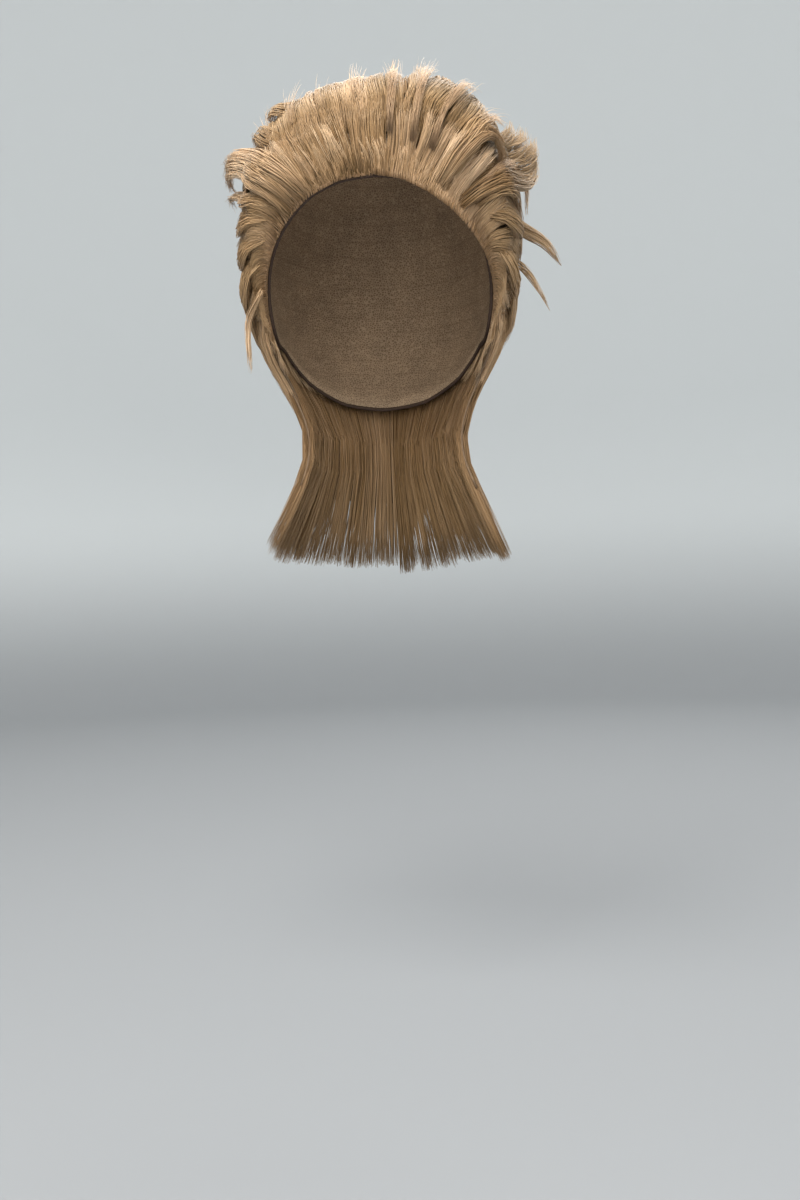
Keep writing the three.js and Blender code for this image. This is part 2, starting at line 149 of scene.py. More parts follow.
# The places of faces in the colour map, from one pair of arrays for each corner
def cornerMap(*corners):
    return np.stack([np.stack(np.broadcast_arrays(*corner), -1) for corner in corners], -2)


crossSection = np.array([(-1.0, -0.3), (1.0, -0.3), (0.0, 0.6)])  # of a strand, flat side down


# Many closed strands at once. Each has its own place in the colour map: left to left + span across, v along.
def tubes(middle, side, out, width, ring, left, span, v):
    count, rings, points = middle.shape[0], middle.shape[1], len(crossSection)
    byAcross = side[:, :, None] * (ring[:, None, :, 0] * width[:, :, None])[..., None]
    byOut = out[:, :, None] * (ring[:, None, :, 1] * width[:, :, None])[..., None]
    every = (np.arange(count), np.arange(rings - 1), np.arange(points))
    tube, level, point = np.meshgrid(*every, indexing="ij")
    after = (point + 1) % points
    below = (tube * rings + level) * points
    above = below + points
    quads = np.stack([below + point, above + point, above + after, below + after], -1)
    low = left[:, None, None] + span * point / points
    high = low + span / points
    foot, top = v[:, :-1, None], v[:, 1:, None]
    ends, endMap = [], []
    for level, step in ((0, 0.004), (rings - 1, -0.004)):
        first = (np.arange(count) * rings + level) * points
        second, third = (2, 1) if level else (1, 2)
        ends.append(np.stack([first, first + second, first + third], -1))
        w = v[:, level]
        endMap.append(cornerMap((left, w), (left + span, w), (left + span / 2, w + step)))
    return {
        "verts": (middle[:, :, None] + byAcross + byOut).reshape(-1, 3),
        "quads": quads.reshape(-1, 4),
        "quadMap": cornerMap((low, foot), (low, top), (high, top), (high, foot)).reshape(-1, 4, 2),
        "tris": np.vstack(ends),
        "triMap": np.vstack(endMap),
    }


def addObject(name, data):
    made = bpy.data.objects.new(name, data)
    bpy.context.scene.collection.objects.link(made)
    return made


triangleCount = {}


def pieceMesh(name, parts):
    offset, quads, tris = 0, [], []
    for part in parts:
        quads.append(part["quads"] + offset)
        tris.append(part["tris"] + offset)
        offset += len(part["verts"])
    verts = np.vstack([part["verts"] for part in parts]) * mm
    quads, tris = np.vstack(quads), np.vstack(tris)
    loops = np.concatenate([quads.ravel(), tris.ravel()])
    starts = np.concatenate([np.arange(len(quads)) * 4, len(quads) * 4 + np.arange(len(tris)) * 3])
    places = np.vstack([part[key].reshape(-1, 2) for key in ("quadMap", "triMap") for part in parts])
    mesh = bpy.data.meshes.new(name)
    mesh.vertices.add(len(verts))
    mesh.vertices.foreach_set("co", verts.astype(np.float32).ravel())
    mesh.loops.add(len(loops))
    mesh.loops.foreach_set("vertex_index", loops.astype(np.int32))
    mesh.polygons.add(len(starts))
    mesh.polygons.foreach_set("loop_start", starts.astype(np.int32))
    mesh.update(calc_edges=True)
    places = np.clip(places, 0.0005, 0.9995).astype(np.float32)
    mesh.uv_layers.new(name="OFBake").data.foreach_set("uv", places.ravel())
    mesh.shade_smooth()
    triangleCount[name] = len(quads) * 2 + len(tris)
    print(name, triangleCount[name], "triangles")
    return addObject(name, mesh)


strandMap = {"left": 0.01, "right": 0.78, "span": 0.004}  # strands lie across the map by tone, dark to light
slabMap = {"left": 0.83, "span": 0.15, "edge": (0.805, 0.81)}  # and the dense hair under them beside that

strandLook = {
    "radius": 0.38,  # half the width of a strand, which stands for a few hairs
    "sizes": (0.7, 1.25),
    "thinning": 0.75,  # share of the width that is gone at the tip
    "roll": 0.3,
    "segments": 6,
    "tone": 0.5,  # dark 0 to light 1
    "toneSpread": 0.11,
    "light": 0.12,  # share of fine light strands
    "lightSize": 0.65,
    "lightBy": 0.28,
    "from": 0.0,  # place in the colour ramp at the root
    "to": 1.0,  # and at the tip
    "frizz": 0.5,
    "bends": (0.8, 2.4),  # in the length of a strand
    "stray": 0.03,  # share of the strands that leave their lock
    "strayBy": 4.5,
}


# Turns the middle lines of strands into meshes
def strandsAlong(paths, t, look, tone):
    count = len(paths)
    share = np.linspace(0, 1, paths.shape[1])[None]
    radius = look["radius"] * randoms.uniform(*look["sizes"], (count, 1))
    radius = radius * (1 - look["thinning"] * share ** 2.5)
    out, side = outAndSide(paths)
    roll = randoms.normal(0, look["roll"], count)
    cos, sin = np.cos(roll)[:, None], np.sin(roll)[:, None]
    x, y = crossSection[None, :, 0], crossSection[None, :, 1]
    ring = np.stack([x * cos - y * sin, x * sin + y * cos], -1)
    light = randoms.random(count) < look["light"]
    radius = radius * np.where(light, look["lightSize"], 1.0)[:, None]
    tone = tone + randoms.normal(0, look["toneSpread"], count) + np.where(light, look["lightBy"], 0.0)
    left = strandMap["left"] + np.clip(tone, 0, 1) * (strandMap["right"] - strandMap["left"])
    v = look["from"] + (look["to"] - look["from"]) * np.clip(t, 0, 1)
    return tubes(paths, side, out, radius, ring, left, strandMap["span"], np.clip(v, 0.005, 0.995))


# Small bends of single strands, across and out
def frizzOf(count, t, look):
    turn = randoms.uniform(0, fullTurn, (4, count, 1))
    rate = randoms.uniform(*look["bends"], (4, count, 1))
    size = look["frizz"] * np.where(randoms.random((count, 1)) < look["stray"], look["strayBy"], 1.0)
    waves = np.sin(fullTurn * rate * t + turn)
    return size * (0.2 + t) * (waves[:2] + waves[2:]) * 0.6


# Lines over the head from rows of stations, each a bearing and a reach; lift is the share of the hair's
# depth along the way. Between stations they follow the head, also over the top.
def headGuides(rows, lift=(1.0, 1.0), steps=24, least=3.0):
    rows = np.array(rows, float)
    lift = np.interp(np.linspace(0, 1, steps + 1), np.linspace(0, 1, len(lift)), lift)
    lines = []
    for row in direction(rows[..., 0], rows[..., 1]):
        way = unit(smoothLine(row, steps))
        bearing = np.degrees(np.arctan2(way[:, 0], -way[:, 1]))
        reach = np.degrees(np.arccos(np.clip(way[:, 2], -1, 1)))
        height = np.maximum(hairDepth(bearing, reach) * lift, least)
        lines.append(headCentre + way * (headRadius(way) + height)[:, None])
    return np.array(lines)


fieldLook = {
    "strands": 800,
    "locks": 14,
    "uneven": 0.42,  # how far the border of a lock moves, as a share of its width
    "loose": 0.3,  # share of the strands that stay out of the locks
    "pinch": (0.1, 0.65),  # how far the strands of a lock close up to its tip
    "dome": 2.0,  # how far a lock stands out in its middle
    "sunk": 0.6,  # share of that by which its root and sides lie lower
    "raise": (-1.0, 1.5),  # how far the tip of a lock stands off
    "layer": 5.0,  # depth over which strands lie under each other
    "bury": 1.5,  # 1 fills the layer evenly, more keeps the strands near its top
    "least": 2.7,  # height over the head that every strand keeps
    "ripple": (0.0, 1.0, 0.0),  # height, count and phase of a wave that all locks share
    "sway": 1.2,
    "waves": 1.0,
    "length": (0.9, 1.0),
    "short": 0.82,
    "shortest": 0.15,
    "start": 0.12,
    "shift": 0.5,  # how far the tip of a lock moves aside, as a share of its width
    "tones": (0.0, 0.0),  # added to the tone across the field
    "vary": 0.14,  # and by how much the locks differ
}


# Hair between guide lines, in locks that leave no gap at their roots and close up toward their tips
def growField(lines, plan):
    look = {**strandLook, **fieldLook, **plan}
    count, locks = look["strands"], look["locks"]
    edges = np.linspace(0, 1, locks + 1)
    edges[1:-1] += randoms.uniform(-look["uneven"], look["uneven"], locks - 1) / locks
    own = {name: randoms.uniform(*look[name], locks) for name in ("pinch", "raise", "length")}
    own["tone"] = randoms.uniform(-look["vary"], look["vary"], locks)
    own["phase"] = randoms.uniform(0, fullTurn, locks)
    own["shift"] = randoms.uniform(-look["shift"], look["shift"], locks) / locks
    q = randoms.uniform(0, 1, count)
    lock = np.clip(np.searchsorted(edges, q) - 1, 0, locks - 1)
    own = {name: values[lock] for name, values in own.items()}
    centre = ((edges[1:] + edges[:-1]) / 2)[lock]
    x = (q - centre) / ((edges[1:] - edges[:-1]) / 2)[lock]
    free = randoms.random(count) < look["loose"]
    begin = randoms.uniform(0, look["start"], count)
    end = own["length"] * (1 - (1 - look["short"]) * randoms.random(count) * (0.4 + 0.6 * np.abs(x)))
    span = np.maximum(end - begin, look["shortest"])[:, None]
    t = begin[:, None] + span * np.linspace(0, 1, look["segments"] + 1)[None]
    closing = 1 - np.where(free, 0.0, own["pinch"])[:, None] * smooth(t)
    at = centre[:, None] + (q - centre)[:, None] * closing + own["shift"][:, None] * t ** 2
    at = np.clip(at, 0, 1) * (len(lines) - 1)
    low = np.clip(np.floor(at).astype(int), 0, len(lines) - 2)
    step, part = t * (lines.shape[1] - 1), (at - low)[..., None]
    near, far = sampled(lines, step, (low,)), sampled(lines, step, (low + 1,))
    middle, out, side = [a * (1 - part) + b * part for a, b in zip(near, far)]
    depth = -look["layer"] * (randoms.random(count) ** look["bury"])[:, None]
    lift = depth + look["dome"] * ((1 - x ** 2)[:, None] * smooth(t * 2.5) - look["sunk"])
    lift = lift + own["raise"][:, None] * t ** 2
    crest, waves, phase = look["ripple"]
    lift = lift + crest * np.sin(fullTurn * waves * t + phase) * smooth(t * 4)
    across, off = frizzOf(count, t, look)
    swing = np.sin(fullTurn * look["waves"] * t + own["phase"][:, None])
    across = across + look["sway"] * swing * smooth(t * 2)
    paths = middle + unit(side) * across[..., None] + unit(out) * (lift + off * 0.5)[..., None]
    fromHead = paths - headCentre
    away = np.linalg.norm(fromHead, axis=-1, keepdims=True)
    least = headRadius(fromHead / away)[..., None] + look["least"]
    paths = headCentre + fromHead / away * np.maximum(away, least)
    tones = np.interp(q, np.linspace(0, 1, len(look["tones"])), look["tones"])
    return [strandsAlong(paths, t, look, look["tone"] + own["tone"] + tones)]


# Fine single hairs that stand off the rest
def growFlyaways(lines, plan):
    look = {**strandLook, "stray": 0.0, **plan}
    count = look["strands"]
    t = np.linspace(look["first"], 1, 9)[None] * randoms.uniform(0.8, 1.0, (count, 1))
    pick = randoms.integers(0, len(lines), count)
    middle, out, side = sampled(lines, t * (lines.shape[1] - 1), (pick[:, None],))
    away = randoms.uniform(*look["away"], (count, 1)) * np.maximum(t - 0.3, 0) ** 1.6
    away = away + randoms.uniform(*look["off"], (count, 1))
    aside = randoms.normal(0, look["aside"], (count, 1)) * t
    aside = aside + 1.5 * np.sin(5 * t + randoms.uniform(0, 6, (count, 1)))
    paths = middle + out * away[..., None] + side * aside[..., None]
    return [strandsAlong(paths, t, look, look["tone"])]


lockColumns = ("width", "thickness", "strands", "tone")  # what the numbers of each "lock" below are
lockLook = {
    "root": 0.6,  # share of the width at the root
    "tip": 0.15,  # and at the tip
    "full": 0.35,  # share of the length where it is widest
    "splay": 1.6,  # how far single strands leave the lock at the tip
    "short": 0.78,
    "start": 0.1,
    "segments": 8,
    "from": 0.2,
    "over": [],  # bearing, reach and height over the hair, for a lock that starts on it
}


# Share of the full width that a lock has along its length
def leafWidth(t, look):
    full = look["full"]
    early = look["root"] + (1 - look["root"]) * smooth(t / full)
    late = 1 - (1 - look["tip"]) * np.clip((t - full) / (1 - full), 0, 1) ** 1.8
    return np.where(t < full, early, late)


# One lock along a line of its own
def growLock(plan):
    look = {**strandLook, **lockLook, **dict(zip(lockColumns, plan["lock"])), **plan}
    start = [offHead(b, r, hairDepth(b, r) + lift) for b, r, lift in look["over"]]
    line = smoothLine(start + look["points"])
    count = look["strands"]
    begin = randoms.uniform(0, look["start"], (count, 1))
    end = randoms.uniform(look["short"], 1.0, (count, 1))
    t = begin + (end - begin) * np.linspace(0, 1, look["segments"] + 1)[None]
    middle, out, side = sampled(line, t * (len(line) - 1))
    angle = randoms.uniform(0, fullTurn, (count, 1))
    spread = np.sqrt(randoms.uniform(0.05, 1.0, (count, 1)))
    half = leafWidth(t, look) / 2
    splay = randoms.normal(0, look["splay"], (2, count, 1)) * t ** 2.6
    bends = frizzOf(count, t, look)
    across = np.cos(angle) * spread * half * look["width"] + splay[0] + bends[0]
    off = np.sin(angle) * spread * half * look["thickness"] + 0.6 * splay[1] + 0.7 * bends[1]
    paths = middle + side * across[..., None] + out * off[..., None]
    return [strandsAlong(paths, t, look, look["tone"])]


# The dense hair under the locks, as a closed slab between two sheets of points
def slab(outer, inner):
    grid = np.concatenate([outer, inner[:, ::-1]], 1)
    columns, points = grid.shape[:2]
    i, j = np.meshgrid(np.arange(columns - 1), np.arange(points), indexing="ij")
    here, after = i * points + j, i * points + (j + 1) % points
    quads = np.stack([here, after, after + points, here + points], -1)
    u, du = slabMap["left"] + slabMap["span"] * i / (columns - 1), slabMap["span"] / (columns - 1)
    v, dv = j / points * 0.6 + 0.02, 0.6 / points
    k = np.arange(points // 2 - 1)
    across = points - 2 - k
    strip = np.concatenate([np.stack([k, k + 1, across], -1), np.stack([k, across, across + 1], -1)])
    tris = np.vstack([strip[:, ::-1], strip + (columns - 1) * points])
    corner = np.array([[0, 0.1], [0.01, 0.1], [0, 0.11]]) + [slabMap["left"], 0]
    return [{
        "verts": grid.reshape(-1, 3),
        "quads": quads.reshape(-1, 4),
        "quadMap": cornerMap((u, v), (u, v + dv), (u + du, v + dv), (u + du, v)).reshape(-1, 4, 2),
        "tris": tris,
        "triMap": np.tile(corner, (len(tris), 1, 1)),
    }]


slabLook = {
    "columns": 25,
    "rows": 13,
    "share": 0.7,  # of the hair's depth
    "least": 2.6,
    "inside": 1.9,  # height of its inner face over the head
    "sheetDepth": 3.0,  # inside a sheet of long hair
}


def underLayer(bearings, top, foot):
    across, down = np.linspace(*bearings, slabLook["columns"]), np.linspace(0, 1, slabLook["rows"])
    foot = np.array([foot(b) for b in across], float)
    b = np.repeat(across[:, None], len(down), 1)
    r = top + (foot - top)[:, None] * down[None]
    outer = offHead(b, r, np.maximum(hairDepth(b, r) * slabLook["share"], slabLook["least"]))
    return slab(outer, offHead(b, r, slabLook["inside"]))


# The same inside a sheet of long hair, between two shares of its length
def underSheet(lines, thick, first, last):
    out = outAndSide(lines)[0]
    depth = slabLook["sheetDepth"]
    kept = slice(int(lines.shape[1] * first), int(lines.shape[1] * last))
    return slab((lines - out * depth)[:, kept], (lines - out * (depth + thick))[:, kept])


def mirrored(guides):
    return [[(-b, r) for b, r in row] for row in guides]


print("head form and lock makers ready")


# Shader groups

def newGroup(name, sockets):
    group = bpy.data.node_groups.new(name, "ShaderNodeTree")
    for socket, kind, way, value in sockets:
        made = group.interface.new_socket(name=socket, in_out=way, socket_type="NodeSocket" + kind)
        if value is not None:
            made.default_value = value
    return group


# Gives a socket its value, from another socket or as it is
def feed(tree, value, socket):
    if hasattr(value, "is_linked"):
        tree.links.new(value, socket)
    else:
        socket.default_value = value


def mathNode(tree, operation, a, b=0.5):
    node = tree.nodes.new("ShaderNodeMath")
    node.operation = operation
    feed(tree, a, node.inputs[0])
    feed(tree, b, node.inputs[1])
    return node.outputs[0]


def mapRange(tree, value, low, high, toLow=0.0, toHigh=1.0, kind="SMOOTHSTEP"):
    node = tree.nodes.new("ShaderNodeMapRange")
    node.interpolation_type = kind
    given = {"Value": value, "From Min": low, "From Max": high, "To Min": toLow, "To Max": toHigh}
    for name, number in given.items():
        feed(tree, number, node.inputs[name])
    return node.outputs["Result"]


def mixColour(tree, factor, a, b):
    node = tree.nodes.new("ShaderNodeMix")
    node.data_type = "RGBA"
    for name, value in (("Factor", factor), ("A", a), ("B", b)):
        feed(tree, value, [s for s in node.inputs if s.name == name and s.enabled][0])
    return [s for s in node.outputs if s.enabled][0]


strandPaint = {
    "rootEnds": 0.3,  # where the colour of the root has gone
    "tipRange": (0.35, 0.8),  # where the colour of the tip comes in
    "streaks": (300.0, 3.0),  # across and along the whole map
    "brightness": (0.5, 1.45),  # of the darkest and the lightest strand
    "saturation": (1.12, 0.86),
}


def hairGroup():
    tree = newGroup("strandColour", [
        ("Root", "Color", "INPUT", (0.1, 0.06, 0.03, 1)),
        ("Middle", "Color", "INPUT", (0.4, 0.27, 0.15, 1)),
        ("Tip", "Color", "INPUT", (0.6, 0.45, 0.3, 1)),
        ("Depth", "Float", "INPUT", 0.5),
        ("Streaks", "Float", "INPUT", 0.3),
        ("Colour", "Color", "OUTPUT", None),
        ("Height", "Float", "OUTPUT", None),
    ])
    nodes, paint = tree.nodes, strandPaint
    given, made = nodes.new("NodeGroupInput").outputs, nodes.new("NodeGroupOutput").inputs
    place = nodes.new("ShaderNodeUVMap")
    place.uv_map = "OFBake"
    parts = nodes.new("ShaderNodeSeparateXYZ")
    feed(tree, place.outputs["UV"], parts.inputs[0])
    across, along = parts.outputs["X"], parts.outputs["Y"]
    tone = mapRange(tree, across, strandMap["left"], strandMap["right"], kind="LINEAR")
    core = mapRange(tree, across, *slabMap["edge"], kind="LINEAR")
    lower = mixColour(tree, mapRange(tree, along, 0.0, paint["rootEnds"]), given["Root"], given["Middle"])
    colour = mixColour(tree, mapRange(tree, along, *paint["tipRange"]), lower, given["Tip"])
    scaled = nodes.new("ShaderNodeCombineXYZ")
    for i, value in enumerate((across, along)):
        feed(tree, mathNode(tree, "MULTIPLY", value, paint["streaks"][i]), scaled.inputs[i])
    noise = nodes.new("ShaderNodeTexNoise")
    noise.noise_dimensions = "2D"
    noise.inputs["Scale"].default_value = 1.0
    noise.inputs["Detail"].default_value = 3.0
    feed(tree, scaled.outputs[0], noise.inputs["Vector"])
    streak = mapRange(tree, noise.outputs["Fac"], 0.3, 0.7, -0.5, 0.5, "LINEAR")
    streak = mathNode(tree, "MULTIPLY", streak, given["Streaks"])
    bright = mathNode(tree, "ADD", mapRange(tree, tone, 0.0, 1.0, *paint["brightness"], "LINEAR"), streak)
    # The dense hair under the strands gets the strand colour scaled down by the factor given for it: painted
    # shade of the hair that lies below the strands.
    sunk = mathNode(tree, "MULTIPLY", given["Depth"], mathNode(tree, "ADD", streak, 1.0))
    onStrands = mathNode(tree, "MULTIPLY", bright, mathNode(tree, "SUBTRACT", 1.0, core))
    value = mathNode(tree, "ADD", onStrands, mathNode(tree, "MULTIPLY", sunk, core))
    change = nodes.new("ShaderNodeHueSaturation")
    feed(tree, colour, change.inputs["Color"])
    feed(tree, value, change.inputs["Value"])
    feed(tree, mapRange(tree, tone, 0.0, 1.0, *paint["saturation"], "LINEAR"), change.inputs["Saturation"])
    feed(tree, change.outputs["Color"], made["Colour"])
    feed(tree, mathNode(tree, "MULTIPLY", noise.outputs["Fac"], core), made["Height"])
    return tree


def plainMaterial(name, roughness):
    material = bpy.data.materials.new(name)
    material.use_nodes = True
    shader = material.node_tree.nodes["Principled BSDF"]
    shader.inputs["Roughness"].default_value = roughness
    return material, material.node_tree, shader


# A material whose colour and height come from a group, with the finish's values in the group's sockets
def groupMaterial(name, group, finish):
    material, tree, shader = plainMaterial(name, finish["roughness"])
    shader.inputs["Specular IOR Level"].default_value = finish["specular"]
    shader.inputs["Specular Tint"].default_value = (*finish["sheen"], 1)
    node = tree.nodes.new("ShaderNodeGroup")
    node.node_tree = group
    for socket in node.inputs:
        value = finish[socket.name]
        socket.default_value = value if isinstance(value, float) else (*value, 1)
    feed(tree, node.outputs["Colour"], shader.inputs["Base Color"])
    bump = tree.nodes.new("ShaderNodeBump")
    bump.inputs["Strength"].default_value = finish["bump"]
    bump.inputs["Distance"].default_value = finish["relief"] * mm
    feed(tree, node.outputs["Height"], bump.inputs["Height"])
    feed(tree, bump.outputs["Normal"], shader.inputs["Normal"])
    return material


hairFinish = {"Root": (0.20, 0.115, 0.055), "Streaks": 0.3, "roughness": 0.38, "sheen": (1.0, 0.88, 0.72),
              "bump": 0.5, "relief": 0.4}
# Each finish also says how much darker the dense hair under the strands is painted: painted shade.
hairFinishes = {
    "hair_top": {"Middle": (0.33, 0.20, 0.095), "Tip": (0.68, 0.485, 0.295), "Depth": 0.6, "specular": 0.5},
    "hair_side": {"Middle": (0.41, 0.26, 0.13), "Tip": (0.55, 0.375, 0.215), "Depth": 0.55,
                  "specular": 0.45},
    "hair_tail": {"Root": (0.30, 0.18, 0.09), "Middle": (0.25, 0.144, 0.064), "Tip": (0.33, 0.205, 0.10),
                  "Depth": 0.6, "roughness": 0.4, "specular": 0.4},
}
strandColour = hairGroup()
materials = {slot: groupMaterial(slot, strandColour, {**hairFinish, **finish})
             for slot, finish in hairFinishes.items()}


def finishPiece(made, slot, *nodes):
    made.data.materials.append(materials[slot])
    if nodes:
        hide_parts(*nodes)
    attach(made, "root")


def hairPiece(name, parts, slot, *nodes):
    finishPiece(pieceMesh(name, parts), slot, *nodes)


# Short upright tufts over the forehead, with their tips standing off the hair behind
hairline = {
    "tufts": {"strands": 1200, "segments": 4, "locks": 15, "radius": 0.32, "pinch": (0.1, 0.75), "dome": 1.2,
              "raise": (-1.0, 4.0), "layer": 4.0, "sway": 0.8, "length": (0.55, 1.1), "short": 0.5,
              "start": 0.05, "tone": 0.55, "frizz": 0.4, "stray": 0.06, "loose": 0.5, "from": 0.28,
              "to": 0.72, "tones": (0.2, 0.1, 0.0, 0.0, 0.05, 0.25, 0.35)},
    "tuftGuides": [
        [(-33, 72.6), (-37, 67.5), (-42, 61), (-48, 54)],
        [(-24, 70.0), (-28, 65), (-33, 59.5), (-38, 54)],
        [(-14, 67.7), (-16.5, 63.5), (-19, 59), (-22, 55)],
        [(0, 66.7), (0.5, 63), (1, 59.5), (1, 56)],
        [(12, 67.4), (13, 63.5), (14.5, 60), (16, 57)],
        [(22, 69.2), (24.5, 65.5), (28, 61.5), (32, 58)],
        [(33, 72.6), (37, 68.5), (42, 64.5), (48, 61)],
    ],
    "rim": {"strands": 1000, "segments": 4, "locks": 46, "radius": 0.34, "pinch": (0.1, 0.6), "dome": 0.3,
            "raise": (-0.5, 0.5), "layer": 1.6, "sway": 0.2, "length": (0.8, 1.0), "short": 0.6,
            "start": 0.02, "tone": 0.55, "frizz": 0.25, "least": 3.0, "from": 0.05, "to": 0.5},
    "rimShape": {
        "bearings": [-74, -68, -62, -56, -42, -28, -14, 0, 10, 20, 30, 40, 50, 60, 67, 74],
        "from": [0, 40, 60, 70, 80],
        "down": [-11.0, -9.0, -4.0, 0.5, -2.0],  # reach from root to tip, upward where it is less than 0
        "turn": 0.15,
        "under": 0.2,  # how far its roots start past the edge
    },
    "droop": {"from": 6.0, "over": 60.0, "most": 5.0},
}


# How far the hair hangs over the edge: a little on the right of the forehead
def overhang(bearing):
    droop = hairline["droop"]
    share = np.clip((np.asarray(bearing) - droop["from"]) / droop["over"], 0, 1)
    return droop["most"] * np.sin(math.pi * share)


def drooped(rows):
    return [[(b, r + float(overhang(b)) * (1 - k / 3) ** 2) for k, (b, r) in enumerate(row)] for row in rows]


def rimGuides():
    shape, rows = hairline["rimShape"], []
    for b in shape["bearings"]:
        edge = float(edgeReach(b) + overhang(b)) + shape["under"]
        down = float(np.interp(abs(b), shape["from"], shape["down"]))
        rows.append([(b * (1 + shape["turn"] * k / 3), edge + down * k / 3) for k in range(4)])
    return rows


def makeHairline():
    parts = growField(headGuides(drooped(hairline["tuftGuides"])), hairline["tufts"])
    parts += growField(headGuides(rimGuides()), hairline["rim"])
    hairPiece("hairline_tufts", parts, "hair_top")


# The mass swept up from the forehead and out to both corners, in three rows from front to back
quiff = {
    "sweep": {"strands": 2900, "locks": 15, "sway": 1.2, "segments": 5, "radius": 0.34, "dome": 1.2,
              "pinch": (0.05, 0.45), "loose": 0.4, "from": 0.28, "to": 0.62, "raise": (-6.5, -2.0),
              "length": (0.75, 1.0), "short": 0.6, "vary": 0.12,
              "tones": (0.3, 0.25, 0.0, -0.15, -0.1, -0.05, 0.05, 0.45, 0.7, 0.75)},
    "sweepGuides": [
        [(-40, 76.8), (-47, 71), (-58, 67), (-72, 66)],
        [(-34, 73.6), (-41, 66), (-53, 60), (-69, 58)],
        [(-28, 71.3), (-35, 62), (-46, 54), (-62, 50)],
        [(-22, 69.6), (-27, 60), (-36, 50), (-50, 42)],
        [(-15, 68.0), (-19, 58), (-26, 47), (-38, 36)],
        [(-7, 67.0), (-9, 58), (-12, 46), (-18, 33)],
        [(0, 66.8), (0, 58), (0, 46), (0, 32)],
        [(8, 67.0), (10, 60), (13, 52), (17, 44)],
        [(15, 67.8), (19, 61.5), (26, 54.5), (35, 49)],
        [(21, 69.2), (26, 64), (35, 58.5), (46, 55)],
        [(27, 70.8), (33, 66), (44, 62), (57, 59)],
        [(34, 73.6), (40, 69), (52, 65), (67, 63)],
        [(40, 76.8), (46, 73), (57, 71), (70, 70)],
    ],
    "fan": {"strands": 3000, "locks": 12, "raise": (-1.0, 1.0), "sway": 1.8, "layer": 6.0, "radius": 0.34,
            "pinch": (0.05, 0.4), "light": 0.16, "from": 0.08, "to": 1.35, "vary": 0.22,
            "tones": (-0.1, -0.1, -0.3, -0.2, 0.05, -0.2, -0.45, -0.5, -0.5, -0.35)},
    "fanGuides": [
        [(-46, 68), (-54, 60), (-66, 54), (-82, 50)],
        [(-36, 64), (-44, 54), (-55, 45), (-70, 38)],
        [(-26, 61), (-33, 50), (-42, 39), (-56, 29)],
        [(-14, 60), (-19, 48), (-27, 35), (-42, 22)],
        [(-4, 59), (-6, 46), (-9, 33), (-16, 18)],
        [(5, 59), (7, 46), (11, 32), (20, 17)],
        [(13, 61), (16, 50), (25, 36), (46, 24)],
        [(20, 63), (24, 54), (37, 43), (60, 34)],
        [(28, 67), (33, 60), (48, 51), (69, 46)],
        [(39, 73), (45, 67), (59, 61), (78, 57)],
    ],
    "fanLift": (0.8, 1.0, 1.03, 1.03),
    "top": {"strands": 1500, "locks": 12, "tone": 0.55, "from": 0.35, "dome": 2.6, "sway": 1.6,
            "segments": 5, "tones": (0.0, 0.0, 0.0, 0.1, -0.1, -0.45, -0.3)},
    "topGuides": [
        [(-56, 54), (-66, 44), (-80, 38), (-96, 36)],
        [(-38, 50), (-48, 38), (-64, 28), (-88, 23)],
        [(-20, 47), (-28, 34), (-44, 21), (-84, 14)],
        [(-4, 46), (-6, 31), (-12, 16), (-80, 4)],
        [(10, 46), (14, 31), (24, 17), (80, 6)],
        [(28, 50), (36, 37), (52, 26), (84, 18)],
        [(44, 56), (54, 45), (68, 36), (88, 31)],
    ],
    "flyaways": {"strands": 120, "radius": 0.14, "away": (2.0, 20.0), "off": (0.0, 1.0), "aside": 5.0,
                 "tone": 0.85, "first": 0.35},
    "fine": {"strands": 260, "radius": 0.15, "away": (0.0, 1.5), "off": (0.5, 3.2), "aside": 2.2,
             "tone": 0.95, "first": 0.08},
    "fineFrom": 5,  # guide of the fan where the fine hairs begin
    "spike": {"root": 0.35, "tip": 0.05, "splay": 1.8, "short": 0.6, "from": 0.1},
    "spikes": [
        {"points": [(4, -86, -30), (9, -68, -3), (12, -47, 18), (14, -34, 36)], "lock": (13, 5, 60, 0.65)},
        {"points": [(20, -82, -28), (25, -66, -1), (29, -47, 19), (30, -33, 34)], "lock": (15, 5, 60, 0.45)},
        {"points": [(32, -76, -30), (40, -60, -7), (46, -43, 10), (50, -30, 24)], "lock": (15, 5, 60, 0.25)},
        {"over": [(-30, 44, -8), (-40, 41, -3), (-47, 39.5, 0)],
         "points": [(-63, -48, 1), (-67, -42, -2), (-67, -39, -8)],
         "lock": (16, 6, 110, 0.35), "tip": 0.4, "short": 0.8},
        {"over": [(-34, 56, -8), (-43, 53, -3), (-50, 50, 0)],
         "points": [(-73, -52, -15), (-76, -45, -17), (-75, -42, -24)],
         "lock": (15, 6, 90, 0.3), "tip": 0.4, "short": 0.8},
    ],
}


def makeQuiff():
    parts = underLayer((-54, 54), 2, lambda b: edgeReach(b) - 3)
    parts += growField(headGuides(drooped(quiff["sweepGuides"])), quiff["sweep"])
    parts += growField(headGuides(quiff["topGuides"]), quiff["top"])
    hairPiece("front_locks", parts, "hair_top", "front_hair")
    lines = headGuides(quiff["fanGuides"], quiff["fanLift"])
    parts = growField(lines, quiff["fan"]) + growFlyaways(lines, quiff["flyaways"])
    parts += growFlyaways(lines[quiff["fineFrom"]:], quiff["fine"])
    for spike in quiff["spikes"]:
        parts += growLock({**quiff["spike"], **spike})
    hairPiece("front_fan", parts, "hair_top")


